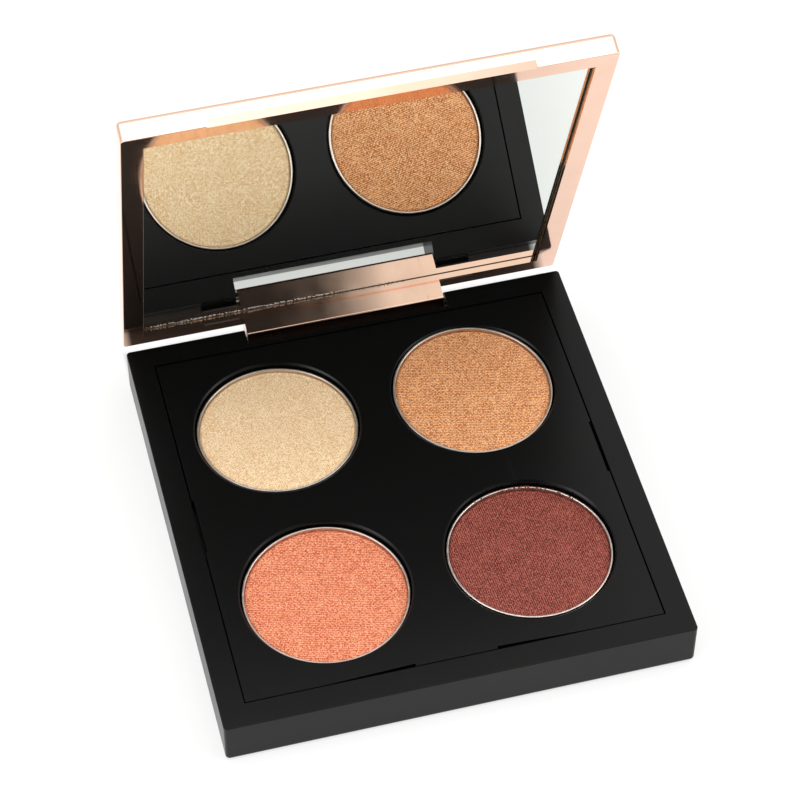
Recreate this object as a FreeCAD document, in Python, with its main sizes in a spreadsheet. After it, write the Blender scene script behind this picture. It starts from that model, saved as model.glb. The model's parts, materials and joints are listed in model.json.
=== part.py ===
"""Eyeshadow palette: a black tray with four round shadows, and a plated mirror lid on a wide rear hinge.

Millimetres, +Z up, +Y towards the hinge. The origin is the centre of the tray's underside. The lid's
pieces are drawn shut, flat above the tray, and then turned open about the hinge axis, which is how the
palette stands at rest.
"""
import FreeCAD, Part
import Sketcher
import os

App = FreeCAD
DIMS = {
    # tray
    "tray_width": 75.0,
    "tray_depth": 77.0,
    "tray_height": 8.5,
    "tray_floor": 1.2,
    "corner_radius": 0.6,
    "under_radius": 0.9,
    "top_edge_radius": 0.12,
    # opening for the insert plate, the ledge it lies on and the hollow under it
    "seat_width": 67.0,
    "seat_depth": 69.0,
    "seat_drop": 1.8,
    "hollow_width": 64.0,
    "hollow_depth": 66.0,
    # insert plate and its four wells
    "plate_width": 66.5,
    "plate_depth": 68.5,
    "plate_thick": 1.7,
    "snap_half": 5.3,
    "snap_relief": 0.3,
    "tab_half": 6.5,
    "bow_half": 21.0,
    "bow_relief": 0.45,
    "well_x": 16.55,
    "well_y": 17.0,
    "well_radius": 13.5,
    "well_chamfer": 0.25,
    "cup_wall": 0.9,
    "cup_floor": 0.9,
    "well_drop": 5.4,
    # pans, glue pads and powder
    "pan_radius": 13.2,
    "pan_height": 4.0,
    "pan_wall": 0.35,
    "pan_heel": 0.7,
    "pan_lip": 0.14,
    "pad_radius": 9.0,
    "cake_radius": 12.8,
    "cake_drop": 0.3,
    "cake_edge": 0.35,
    # how each pan sits in its glue: its rim below the tray's top, its rise to the rear and its
    # fall to the right, both in degrees
    "rear_left_sink": 0.71,
    "rear_left_rise": -1.3,
    "rear_left_fall": 0.0,
    "rear_right_sink": 0.4,
    "rear_right_rise": 1.6,
    "rear_right_fall": 1.2,
    "front_left_sink": 1.0,
    "front_left_rise": -0.2,
    "front_left_fall": 0.3,
    "front_right_sink": 0.73,
    "front_right_rise": -1.5,
    "front_right_fall": 0.9,
    # hinge
    "hinge_out": 0.1,
    "hinge_drop": 2.74,
    "ear_radius": 1.6,
    "ear_length": 6.0,
    "pin_radius": 0.6,
    "pin_clearance": 0.05,
    "pin_hold": 5.0,
    "slot_depth": 3.15,
    "slot_clearance": 0.3,
    "knuckle_width": 34.0,
    "knuckle_thick": 2.85,
    "knuckle_drop": 3.2,
    "knuckle_round": 0.55,
    "knuckle_root": 0.5,
    "open_angle": 71.4,
    # lid and mirror
    "lid_gap": 0.1,
    "lid_thick": 3.6,
    "lid_rim": 3.35,
    "lid_edge_radius": 0.8,
    "rim_edge_radius": 0.1,
    "recess_drop": 2.3,
    "mirror_gap": 0.12,
    "mirror_thick": 1.1,
    "tape_thick": 0.15,
    "tape_inset": 1.0,
    "thumb_half": 24.8,
    "thumb_rise": 1.35,
    "thumb_bite": 0.3,
    # closure magnets in the two front bars
    "magnet_x": 17.0,
    "magnet_length": 12.0,
    "magnet_fit": 0.1,
    "base_magnet_width": 2.4,
    "base_magnet_thick": 1.8,
    "base_magnet_front": 36.6,
    "base_magnet_top": 2.0,
    "lid_magnet_width": 1.7,
    "lid_magnet_thick": 1.0,
    "lid_magnet_rise": 1.2,
    # how far a cutting shape runs past the face it opens through, and the least such run
    "overshoot": 1.0,
    "skim": 0.01,
}
# where the knuckle's underside meets its barrel, in barrel radii forward of and below the axis
WRAP_FORWARD = 0.4
WRAP_DOWN = 0.9165
# where each well's centre is
WELLS = {
    "rear_left": ("-well_x", "well_y"),
    "rear_right": ("well_x", "well_y"),
    "front_left": ("-well_x", "-well_y"),
    "front_right": ("well_x", "-well_y"),
}

doc = App.newDocument("eyeshadow_palette")
sheet = doc.addObject("Spreadsheet::Sheet", "Dims")
for row, (alias, value) in enumerate(DIMS.items(), start=1):
    sheet.set(f"A{row}", alias)
    sheet.set(f"B{row}", str(value))
    sheet.setAlias(f"B{row}", alias)
doc.recompute()


def bound(formula):
    """A formula in the sheet's words, with every word made a reference to its cell."""
    words = sorted(DIMS, key=len, reverse=True)
    out, i = "", 0
    while i < len(formula):
        word = next((w for w in words if formula.startswith(w, i)), None)
        out += f"Dims.{word}" if word else formula[i]
        i += len(word) if word else 1
    return out


def size(formula):
    """What a formula in the sheet's words comes to, in millimetres."""
    return float(sheet.evalExpression(bound(formula)))


def drive(thing, name, formula):
    thing.setExpression(name, bound(formula))


# ---------------------------------------------------------------- sketches and features
def new_body(label):
    body = doc.addObject("PartDesign::Body", label)
    body.Label = label
    return body


def new_sketch(body, name, role="XY_Plane", offset=None):
    """A sketch on one of the body's own origin planes, raised along its normal by a formula."""
    sketch = body.newObject("Sketcher::SketchObject", f"{body.Label}_{name}")
    plane = next(f for f in body.Origin.OriginFeatures if f.Role == role)
    sketch.AttachmentSupport = [(plane, "")]
    sketch.MapMode = "FlatFace"
    if offset:
        drive(sketch, "AttachmentOffset.Base.z", offset)
    return sketch


def fix_point(sketch, line, end, across, along):
    """Holds one end of a line at two distances from the sketch's origin, each a formula."""
    for kind, formula in (("DistanceX", across), ("DistanceY", along)):
        place = sketch.addConstraint(
            Sketcher.Constraint(kind, -1, 1, line, end, size(formula))
        )
        drive(sketch, f"Constraints[{place}]", formula)


def outline(sketch, corners):
    """A closed run of straight lines through corners given as pairs of formulas."""
    spots = [App.Vector(size(a), size(b), 0) for a, b in corners]
    count = len(spots)
    first = sketch.GeometryCount
    for i in range(count):
        sketch.addGeometry(Part.LineSegment(spots[i], spots[(i + 1) % count]), False)
    for i in range(count):
        following = first + (i + 1) % count
        sketch.addConstraint(Sketcher.Constraint("Coincident", first + i, 2, following, 1))
    for i, (across, along) in enumerate(corners):
        fix_point(sketch, first + i, 1, across, along)


def rectangle(sketch, left, right, near, far):
    outline(sketch, [(left, near), (right, near), (right, far), (left, far)])


def centred(sketch, width, depth):
    rectangle(sketch, f"-{width}/2", f"{width}/2", f"-{depth}/2", f"{depth}/2")


def circle(sketch, across, along, radius):
    centre = App.Vector(size(across), size(along), 0)
    index = sketch.addGeometry(Part.Circle(centre, App.Vector(0, 0, 1), size(radius)), False)
    place = sketch.addConstraint(Sketcher.Constraint("Radius", index, size(radius)))
    drive(sketch, f"Constraints[{place}]", radius)
    fix_point(sketch, index, 3, across, along)


def feature(body, kind, name, sketch, length, reverse=False, midplane=False):
    """A Pad or a Pocket of a sketch. It has to change the body's volume the way its kind says."""
    before = body.Shape.Volume if not body.Shape.isNull() else 0.0
    made = body.newObject(f"PartDesign::{kind}", f"{body.Label}_{name}")
    made.Profile = sketch
    drive(made, "Length", length)
    made.Reversed = reverse
    made.Midplane = midplane
    doc.recompute()
    change = body.Shape.Volume - before
    if (kind == "Pad") != (change > 0) or abs(change) < 1e-6:
        raise RuntimeError(f"{made.Name} changed the volume by {change:.4f}")
    return made


def round_edges(body, name, radius, wanted, kind="Fillet"):
    """Rounds or chamfers the edges of the body's last feature for which wanted(edge box, edge) is true."""
    base = body.Tip
    names = [
        f"Edge{i}"
        for i, edge in enumerate(base.Shape.Edges, start=1)
        if wanted(edge.BoundBox, edge)
    ]
    if not names:
        raise RuntimeError(f"{body.Label}: no edge for {name}")
    made = body.newObject(f"PartDesign::{kind}", f"{body.Label}_{name}")
    made.Base = (base, names)
    drive(made, "Radius" if kind == "Fillet" else "Size", radius)
    doc.recompute()
    return made


NEAR = 1e-4


def level(box, height):
    """True for an edge that lies flat at a height."""
    return abs(box.ZMin - height) < NEAR and abs(box.ZMax - height) < NEAR


def upright(box):
    return box.XLength < NEAR and box.YLength < NEAR and box.ZLength > NEAR


def at_corner(box, half_width, half_depth):
    return abs(abs(box.XMin) - half_width) < NEAR and abs(abs(box.YMin) - half_depth) < NEAR


# ---------------------------------------------------------------- tray
HINGE_Y = "(tray_depth/2+hinge_out)"
HINGE_Z = "(tray_height-hinge_drop)"
SLOT_WIDTH = "(knuckle_width+2*slot_clearance)"
EARS_WIDTH = "(knuckle_width+2*slot_clearance+2*ear_length)"


def make_tray():
    body = new_body("base_tray")
    sketch = new_sketch(body, "block_outline")
    centred(sketch, "tray_width", "tray_depth")
    feature(body, "Pad", "block", sketch, "tray_height")
    half_width, half_depth = size("tray_width/2"), size("tray_depth/2")
    round_edges(
        body,
        "corners",
        "corner_radius",
        lambda box, edge: upright(box) and at_corner(box, half_width, half_depth),
    )
    round_edges(body, "underside", "under_radius", lambda box, edge: level(box, 0.0))
    top = size("tray_height")
    round_edges(body, "top_edge", "top_edge_radius", lambda box, edge: level(box, top))

    sketch = new_sketch(body, "ears_outline", "YZ_Plane")
    circle(sketch, HINGE_Y, HINGE_Z, "ear_radius")
    feature(body, "Pad", "ears", sketch, EARS_WIDTH, midplane=True)

    sketch = new_sketch(body, "slot_outline", offset="tray_height+overshoot")
    rectangle(
        sketch,
        f"-{SLOT_WIDTH}/2",
        f"{SLOT_WIDTH}/2",
        "tray_depth/2-slot_depth",
        "tray_depth/2+2*ear_radius",
    )
    feature(body, "Pocket", "slot", sketch, "tray_height+2*overshoot")

    sketch = new_sketch(body, "pin_outline", "YZ_Plane")
    circle(sketch, HINGE_Y, HINGE_Z, "pin_radius")
    feature(body, "Pocket", "pin_holes", sketch, EARS_WIDTH, midplane=True)

    sketch = new_sketch(body, "seat_outline", offset="tray_height")
    centred(sketch, "seat_width", "seat_depth")
    feature(body, "Pocket", "seat", sketch, "seat_drop")
    sketch = new_sketch(body, "hollow_outline", offset="tray_height")
    centred(sketch, "hollow_width", "hollow_depth")
    feature(body, "Pocket", "hollow", sketch, "tray_height-tray_floor")

    sketch = new_sketch(body, "magnet_outline", offset="tray_height-base_magnet_top+magnet_fit")
    reach = "(magnet_length/2+magnet_fit)"
    for side in ("-", ""):
        rectangle(
            sketch,
            f"{side}magnet_x-{reach}",
            f"{side}magnet_x+{reach}",
            "-base_magnet_front-magnet_fit",
            "-hollow_depth/2+overshoot",
        )
    feature(body, "Pocket", "magnet_pockets", sketch, "base_magnet_thick+2*magnet_fit")
    return body


# ---------------------------------------------------------------- insert plate
def well_circles(sketch, radius):
    for across, along in WELLS.values():
        circle(sketch, across, along, radius)


def make_plate():
    body = new_body("insert_plate")
    plate_bottom = "(tray_height-seat_drop)"
    plate_top = f"({plate_bottom}+plate_thick)"
    sketch = new_sketch(body, "plate_outline", offset=plate_bottom)
    centred(sketch, "plate_width", "plate_depth")
    feature(body, "Pad", "plate", sketch, "plate_thick")
    sketch = new_sketch(body, "cup_outline", offset=plate_bottom)
    well_circles(sketch, "well_radius+cup_wall")
    cup_height = "well_drop+cup_floor-seat_drop"
    feature(body, "Pad", "cups", sketch, cup_height, reverse=True)

    sketch = new_sketch(body, "well_outline", offset="tray_height")
    well_circles(sketch, "well_radius")
    feature(body, "Pocket", "wells", sketch, "well_drop")

    # reliefs beside the side snaps, and the front edge's bow either side of its middle tab
    sketch = new_sketch(body, "relief_outline", offset=f"{plate_top}+overshoot")
    edge = "plate_width/2"
    rectangle(sketch, f"-{edge}-overshoot", f"-{edge}+snap_relief", "-snap_half", "snap_half")
    rectangle(sketch, f"{edge}-snap_relief", f"{edge}+overshoot", "-snap_half", "snap_half")
    front = "plate_depth/2"
    for side in ("-", ""):
        outline(
            sketch,
            [
                (f"{side}tab_half", f"-{front}-overshoot"),
                (f"{side}tab_half", f"-{front}+bow_relief"),
                (f"{side}bow_half", f"-{front}-skim"),
                (f"{side}bow_half", f"-{front}-overshoot"),
            ],
        )
    feature(body, "Pocket", "reliefs", sketch, "plate_thick+overshoot")

    top, radius = size(plate_top), size("well_radius")
    round_edges(
        body,
        "well_edges",
        "well_chamfer",
        lambda box, edge: level(box, top) and abs(box.XLength - 2 * radius) < NEAR,
        kind="Chamfer",
    )
    return body


# ---------------------------------------------------------------- pans and what they hold
def seating(well):
    """Where a pan's underside is, with the pan leaning about the centre of its rim."""
    across, along = WELLS[well]
    rim = App.Vector(size(across), size(along), size(f"tray_height-{well}_sink"))
    rise = App.Rotation(App.Vector(1, 0, 0), size(f"{well}_rise"))
    fall = App.Rotation(App.Vector(0, 1, 0), size(f"{well}_fall"))
    down = App.Placement(App.Vector(0, 0, -size("pan_height")), App.Rotation())
    return App.Placement(rim, rise.multiply(fall)).multiply(down)


def circle_at_origin(sketch, radius):
    round_shape = Part.Circle(App.Vector(0, 0, 0), App.Vector(0, 0, 1), size(radius))
    index = sketch.addGeometry(round_shape, False)
    sketch.addConstraint(Sketcher.Constraint("Coincident", index, 3, -1, 1))
    place = sketch.addConstraint(Sketcher.Constraint("Radius", index, size(radius)))
    drive(sketch, f"Constraints[{place}]", radius)


def make_pan(well):
    body = new_body(f"pan_{well}")
    sketch = new_sketch(body, "round")
    circle_at_origin(sketch, "pan_radius")
    feature(body, "Pad", "blank", sketch, "pan_height")
    round_edges(body, "heel", "pan_heel", lambda box, edge: level(box, 0.0))
    sketch = new_sketch(body, "inside", offset="pan_height")
    circle_at_origin(sketch, "pan_radius-pan_wall")
    feature(body, "Pocket", "bowl", sketch, "pan_height-pan_wall")
    lip = size("pan_height")
    round_edges(body, "lip", "pan_lip", lambda box, edge: level(box, lip))
    body.Placement = seating(well)
    return body


def make_cake(well):
    body = new_body(f"powder_{well}")
    sketch = new_sketch(body, "round", offset="pan_wall")
    circle_at_origin(sketch, "cake_radius")
    feature(body, "Pad", "cake", sketch, "pan_height-pan_wall-cake_drop")
    top = size("pan_height-cake_drop")
    round_edges(body, "edge", "cake_edge", lambda box, edge: level(box, top))
    body.Placement = seating(well)
    return body


def make_pad(well):
    """Soft glue that fills the wedge between a well's floor and its leaning pan."""
    across, along = WELLS[well]
    column = doc.addObject("Part::Cylinder", f"glue_column_{well}")
    drive(column, "Radius", "pad_radius")
    drive(column, "Height", "well_drop")
    drive(column, "Placement.Base.x", across)
    drive(column, "Placement.Base.y", along)
    drive(column, "Placement.Base.z", "tray_height-well_drop")
    under = make_block(f"under_pan_{well}", "4*pad_radius", "4*pad_radius", "well_drop")
    low_corner = App.Vector(-2 * size("pad_radius"), -2 * size("pad_radius"), -size("well_drop"))
    under.Placement = seating(well).multiply(App.Placement(low_corner, App.Rotation()))
    pad = doc.addObject("Part::Common", f"glue_pad_{well}")
    pad.Label = f"glue_pad_{well}"
    pad.Base = column
    pad.Tool = under
    return pad


def make_block(label, length, width, height):
    block = doc.addObject("Part::Box", label)
    block.Label = label
    for side, formula in (("Length", length), ("Width", width), ("Height", height)):
        drive(block, side, formula)
    return block


# ---------------------------------------------------------------- lid, drawn shut
RIM_Z = "(tray_height+lid_gap)"


def make_lid():
    body = new_body("lid_shell")
    sketch = new_sketch(body, "block_outline", offset=RIM_Z)
    centred(sketch, "tray_width", "tray_depth")
    feature(body, "Pad", "block", sketch, "lid_thick")
    half_width, half_depth = size("tray_width/2"), size("tray_depth/2")
    round_edges(
        body,
        "corners",
        "corner_radius",
        lambda box, edge: upright(box) and at_corner(box, half_width, half_depth),
    )
    top, rim = size(f"{RIM_Z}+lid_thick"), size(RIM_Z)
    round_edges(body, "outer_edge", "lid_edge_radius", lambda box, edge: level(box, top))
    round_edges(body, "rim_edge", "rim_edge_radius", lambda box, edge: level(box, rim))

    # the knuckle hangs from the rim's rear bar and wraps the hinge axis
    sketch = new_sketch(body, "knuckle_outline", "YZ_Plane")
    front = "tray_depth/2-knuckle_thick"
    back = f"{HINGE_Y}+ear_radius"
    outline(
        sketch,
        [
            (front, f"{RIM_Z}+knuckle_root"),
            (front, f"{RIM_Z}-knuckle_drop"),
            (
                f"{HINGE_Y}-ear_radius*{WRAP_FORWARD}",
                f"{HINGE_Z}-ear_radius*{WRAP_DOWN}",
            ),
            (HINGE_Y, HINGE_Z),
            (back, HINGE_Z),
            (back, f"{HINGE_Z}+ear_radius"),
            ("tray_depth/2-knuckle_root", f"{RIM_Z}+2*knuckle_root"),
        ],
    )
    feature(body, "Pad", "knuckle", sketch, "knuckle_width", midplane=True)
    sketch = new_sketch(body, "barrel_outline", "YZ_Plane")
    circle(sketch, HINGE_Y, HINGE_Z, "ear_radius")
    feature(body, "Pad", "barrel", sketch, "knuckle_width", midplane=True)
    heel_y, heel_z = size(front), size(f"{RIM_Z}-knuckle_drop")
    round_edges(
        body,
        "knuckle_heel",
        "knuckle_round",
        lambda box, edge: abs(box.YMin - heel_y) < NEAR
        and abs(box.YMax - heel_y) < NEAR
        and level(box, heel_z),
    )
    sketch = new_sketch(body, "bore_outline", "YZ_Plane")
    circle(sketch, HINGE_Y, HINGE_Z, "pin_radius+pin_clearance")
    feature(body, "Pocket", "bore", sketch, "knuckle_width+overshoot", midplane=True)

    sketch = new_sketch(body, "recess_outline", offset=RIM_Z)
    centred(sketch, "(tray_width-2*lid_rim)", "(tray_depth-2*lid_rim)")
    feature(body, "Pocket", "recess", sketch, "recess_drop", reverse=True)

    # pockets for the magnets, cut into the front bar from the recess, behind the mirror's edge
    sketch = new_sketch(body, "magnet_outline", offset=f"{RIM_Z}+lid_magnet_rise-magnet_fit")
    reach = "(magnet_length/2+magnet_fit)"
    inside = "(tray_depth/2-lid_rim)"
    for side in ("-", ""):
        rectangle(
            sketch,
            f"{side}magnet_x-{reach}",
            f"{side}magnet_x+{reach}",
            f"-{inside}-lid_magnet_width-magnet_fit",
            f"-{inside}+magnet_fit",
        )
    pocket = "lid_magnet_thick+2*magnet_fit"
    feature(body, "Pocket", "magnet_pockets", sketch, pocket, reverse=True)

    # a shallow scoop along the front edge for the thumb
    sketch = new_sketch(body, "thumb_outline", "YZ_Plane")
    outline(
        sketch,
        [
            ("-tray_depth/2-overshoot", f"{RIM_Z}-overshoot"),
            ("-tray_depth/2+thumb_bite", f"{RIM_Z}-overshoot"),
            ("-tray_depth/2+thumb_bite", RIM_Z),
            ("-tray_depth/2-skim", f"{RIM_Z}+thumb_rise"),
            ("-tray_depth/2-overshoot", f"{RIM_Z}+thumb_rise"),
        ],
    )
    feature(body, "Pocket", "thumb_scoop", sketch, "2*thumb_half", midplane=True)
    return body


def put(block, left, near, bottom, turn=None):
    """Sets a box's low corner from formulas, and then turns it open with the lid if asked."""
    place = App.Placement(App.Vector(size(left), size(near), size(bottom)), App.Rotation())
    block.Placement = turn.multiply(place) if turn else place


# ---------------------------------------------------------------- make everything
lid_turn = App.Placement(
    App.Vector(0, 0, 0),
    App.Rotation(App.Vector(1, 0, 0), -size("open_angle")),
    App.Vector(0, size(HINGE_Y), size(HINGE_Z)),
)

pieces = [make_tray(), make_plate()]
for well in WELLS:
    pieces += [make_pad(well), make_pan(well), make_cake(well)]

lid = make_lid()
lid.Placement = lid_turn
pieces.append(lid)

mirror_width = "(tray_width-2*lid_rim-2*mirror_gap)"
mirror_depth = "(tray_depth-2*lid_rim-2*mirror_gap)"
glass_z = f"{RIM_Z}+recess_drop-tape_thick-mirror_thick"
mirror = make_block("mirror", mirror_width, mirror_depth, "mirror_thick")
put(mirror, f"-{mirror_width}/2", f"-{mirror_depth}/2", glass_z, lid_turn)
tape_width = f"({mirror_width}-2*tape_inset)"
tape_depth = f"({mirror_depth}-2*tape_inset)"
tape_z = f"{RIM_Z}+recess_drop-tape_thick"
tape = make_block("mirror_tape", tape_width, tape_depth, "tape_thick")
put(tape, f"-{tape_width}/2", f"-{tape_depth}/2", tape_z, lid_turn)
pieces += [mirror, tape]

BASE_MAGNET_Z = "tray_height-base_magnet_top-base_magnet_thick"
LID_MAGNET_Y = "-(tray_depth/2-lid_rim)-lid_magnet_width"
for side, word in ((-1, "left"), (1, "right")):
    magnet_x = f"{side}*magnet_x-magnet_length/2"
    name = f"base_magnet_{word}"
    block = make_block(name, "magnet_length", "base_magnet_width", "base_magnet_thick")
    put(block, magnet_x, "-base_magnet_front", BASE_MAGNET_Z)
    pieces.append(block)
    name = f"lid_magnet_{word}"
    block = make_block(name, "magnet_length", "lid_magnet_width", "lid_magnet_thick")
    put(block, magnet_x, LID_MAGNET_Y, f"{RIM_Z}+lid_magnet_rise", lid_turn)
    pieces.append(block)

    pin = doc.addObject("Part::Cylinder", f"hinge_pin_{word}")
    pin.Label = f"hinge_pin_{word}"
    drive(pin, "Radius", "pin_radius")
    drive(pin, "Height", "ear_length+slot_clearance+pin_hold")
    inner_end = App.Vector(side * size("knuckle_width/2-pin_hold"), size(HINGE_Y), size(HINGE_Z))
    pin.Placement = App.Placement(inner_end, App.Rotation(App.Vector(0, side, 0), 90))
    pieces.append(pin)

doc.recompute()

# ---------------------------------------------------------------- check and export
for thing in doc.Objects:
    if "Invalid" in thing.State or "Error" in thing.State:
        raise RuntimeError(f"{thing.Label} failed: {thing.State}")

os.makedirs("parts", exist_ok=True)
for piece in pieces:
    shape = piece.Shape
    if shape.isNull() or not shape.isValid() or len(shape.Solids) != 1:
        raise RuntimeError(f"{piece.Label} isn't one valid solid")
    shape.exportStep(f"parts/{piece.Label}.step")
    print(f"{piece.Label:22s} {shape.Volume:10.1f} mm3")
print(len(pieces), "pieces")
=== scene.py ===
# %% [markdown]
# # A square eyeshadow palette with a mirror lid
# The object is a pocket palette: a black moulded tray, an insert plate with four wells, four round
# tin pans of pressed powder, and a plated lid that carries a mirror. The tray and the lid already
# exist as exact CAD solids, so nothing here moves or resizes them. What this lesson adds is the
# surface of every piece, and finer meshes for the pieces whose looks the plain solids can't give:
# the drawn pans, the pressed powder, the mirror, and the small accidents of assembly.

# %% Load the fixed frame
import json
import math
import random

import bmesh
import bpy
from mathutils import Matrix, Vector, noise


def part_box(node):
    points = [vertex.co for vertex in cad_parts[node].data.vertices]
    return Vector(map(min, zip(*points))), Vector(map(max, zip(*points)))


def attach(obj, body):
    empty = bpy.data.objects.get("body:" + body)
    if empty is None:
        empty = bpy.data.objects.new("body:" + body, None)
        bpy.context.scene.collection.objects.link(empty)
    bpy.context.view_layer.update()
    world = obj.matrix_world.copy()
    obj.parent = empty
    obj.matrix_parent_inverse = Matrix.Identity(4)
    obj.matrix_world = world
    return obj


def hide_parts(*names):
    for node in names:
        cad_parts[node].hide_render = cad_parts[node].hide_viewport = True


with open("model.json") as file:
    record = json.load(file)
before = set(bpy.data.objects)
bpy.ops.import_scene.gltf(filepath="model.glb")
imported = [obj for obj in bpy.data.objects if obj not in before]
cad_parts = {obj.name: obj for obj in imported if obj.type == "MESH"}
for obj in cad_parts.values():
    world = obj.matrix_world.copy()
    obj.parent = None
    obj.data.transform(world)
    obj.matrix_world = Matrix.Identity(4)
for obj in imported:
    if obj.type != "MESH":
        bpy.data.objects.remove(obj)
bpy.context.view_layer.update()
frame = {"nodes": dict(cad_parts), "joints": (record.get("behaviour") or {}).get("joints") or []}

# %% [markdown]
# ## Where things are
# Every place comes from the CAD nodes themselves. A well's four nodes share a suffix, such as
# rear_left, so one loop can serve all four. The lid is drawn most easily lying shut, and its joint
# says how to get from there to where it stands: a turn about the hinge line, back through the
# angle that the joint can still close. Everything is in metres, so MM is one millimetre. Two points
# closer than NEAR count as one, and a normal with a part of FLAT or more along an axis faces that
# way.

# %% Measure the frame
MM = 0.001
NEAR = 1e-6
FLAT = 0.99
WELLS = ["rear_left", "rear_right", "front_left", "front_right"]
hinge = frame["joints"][0]
hinge_point = Vector(hinge["pos_m"])
shut_angle = math.radians(hinge["range_deg"][0])
lid_turn = (
    Matrix.Translation(hinge_point)
    @ Matrix.Rotation(-shut_angle, 4, Vector(hinge["axis"]))
    @ Matrix.Translation(-hinge_point)
)
tray_low, tray_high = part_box("base_tray")
tray_half = (tray_high.x - tray_low.x) / 2
print("lid stands", round(-math.degrees(shut_angle), 1), "degrees from shut")


# %% [markdown]
# Two kinds of node don't lie square to the frame. The lid's pieces stand open, and each pan leans a
# little in the soft glue under it. Both are measured the same way: undo the turn, take the box
# there, build the piece square, and put the turn back. A pan's lean is read from its flat underside.


# %% Measure turned nodes
def turned_box(node, turn):
    """A node's lowest and highest corner with a turn undone."""
    back = turn.inverted()
    corners = [back @ vert.co for vert in frame["nodes"][node].data.vertices]
    low = Vector([min(corner[i] for corner in corners) for i in range(3)])
    high = Vector([max(corner[i] for corner in corners) for i in range(3)])
    return low, high


def find_lean(well):
    """The turn from upright to the way a well's pan leans."""
    down = Vector((0, 0, -1))
    under = Vector()
    for face in frame["nodes"][f"pan_{well}"].data.polygons:
        if face.normal.dot(down) > FLAT:
            under += face.normal * face.area
    return down.rotation_difference(under.normalized()).to_matrix().to_4x4()


def round_size(node, lean):
    """A leaning round node's top centre, radius and height, with its lean undone."""
    low, high = turned_box(node, lean)
    top = Vector(((low.x + high.x) / 2, (low.y + high.y) / 2, high.z))
    return top, (high.x - low.x) / 2, high.z - low.z


leans = {well: find_lean(well) for well in WELLS}
for well, lean in leans.items():
    print(well, "pan leans", round(math.degrees(lean.to_quaternion().angle), 2), "degrees")


# %% [markdown]
# ## Helpers for pieces
# A new piece is made in a bmesh, the editable form of a mesh, and then written to an object that
# sits at the origin. It rides on a CAD body, takes the finishes it is given, and may stand for a
# CAD node, which is then hidden. A CAD node that is good as it stands only gets its finish.

# %% Helpers for pieces
def finish_piece(name, bm, materials, body, node=None, smooth_below=40.0):
    """Writes bm to an object of its own. Edges that turn by less than smooth_below look smooth."""
    mesh = bpy.data.meshes.new(name)
    bm.normal_update()
    for edge in bm.edges:
        edge.smooth = edge.calc_face_angle(math.pi) < math.radians(smooth_below)
    for face in bm.faces:
        face.smooth = True
    bm.to_mesh(mesh)
    bm.free()
    piece = bpy.data.objects.new(name, mesh)
    bpy.context.scene.collection.objects.link(piece)
    for material in materials:
        mesh.materials.append(material)
    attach(piece, body)
    if node:
        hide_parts(node)
    print(f"{name}: {len(mesh.polygons)} faces")
    return piece


def dress(node, material):
    """Gives a CAD node its finish."""
    frame["nodes"][node].material_slots[0].material = material


def round_disc(radius, low, high, segments):
    """A bmesh with a solid disc about the z axis, and its top face."""
    bm = bmesh.new()
    place = Matrix.Translation((0, 0, (low + high) / 2))
    bmesh.ops.create_cone(
        bm,
        cap_ends=True,
        segments=segments,
        radius1=radius,
        radius2=radius,
        depth=high - low,
        matrix=place,
    )
    return bm, max(bm.faces, key=lambda face: face.calc_center_median().z)


def circle_edges(bm, radius, height):
    """The edges that lie on one circle about the z axis."""
    return [
        edge
        for edge in bm.edges
        if all(
            abs(vert.co.z - height) < NEAR and abs(vert.co.xy.length - radius) < NEAR
            for vert in edge.verts
        )
    ]


def bevel_edges(bm, edges, width, segments):
    """Rounds edges of bm off."""
    bmesh.ops.bevel(
        bm,
        geom=edges,
        offset=width,
        segments=segments,
        profile=0.5,
        affect="EDGES",
        material=-1,
    )


# %% [markdown]
# ## Node helpers
# A material is a tree of nodes. Typing each node out in full hides what it does, so one helper
# makes a node and fills its inputs, with a plain number or with another node's output. Effects
# that several finishes share are node groups with named sockets, and another helper starts those.
# The rest name the steps that every finish repeats: arithmetic, a stretch, a blend of two colours.
# A noise node gives 0 to 1, but nearly all of it lies in NOISE_SPAN, so that is what gets stretched.

# %% Helpers for nodes
NOISE_SPAN = (0.3, 0.7)


def add_node(tree, kind, inputs=None, **settings):
    """A shader node with its properties set and its inputs filled from numbers or sockets."""
    made = tree.nodes.new("ShaderNode" + kind)
    for name, value in settings.items():
        setattr(made, name, value)
    for name, value in (inputs or {}).items():
        if isinstance(value, bpy.types.NodeSocket):
            tree.links.new(value, made.inputs[name])
        else:
            made.inputs[name].default_value = value
    return made


def maths(tree, operation, first, second=0.0, clamp=False):
    """One Math node, and its result."""
    return add_node(tree, "Math", {0: first, 1: second}, operation=operation, use_clamp=clamp).outputs[0]


def vector_maths(tree, operation, inputs):
    """One Vector Math node, and the vector it gives."""
    return add_node(tree, "VectorMath", inputs, operation=operation).outputs[0]


def between(tree, share, first, second):
    """A value between two others."""
    return add_node(tree, "Mix", {0: share, 2: first, 3: second}, data_type="FLOAT").outputs[0]


def blend(tree, share, first, second):
    """A colour between two, each of them three numbers or a socket."""
    inputs = {"Fac": share}
    for label, colour in (("Color1", first), ("Color2", second)):
        inputs[label] = colour if isinstance(colour, bpy.types.NodeSocket) else (*colour, 1)
    return add_node(tree, "MixRGB", inputs).outputs[0]


def spread(tree, value, low, high, to_low=0.0, to_high=1.0):
    """Stretches low..high of a value to a new range, held at its ends."""
    inputs = {"Value": value, "From Min": low, "From Max": high, "To Min": to_low, "To Max": to_high}
    return add_node(tree, "MapRange", inputs).outputs["Result"]


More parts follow.
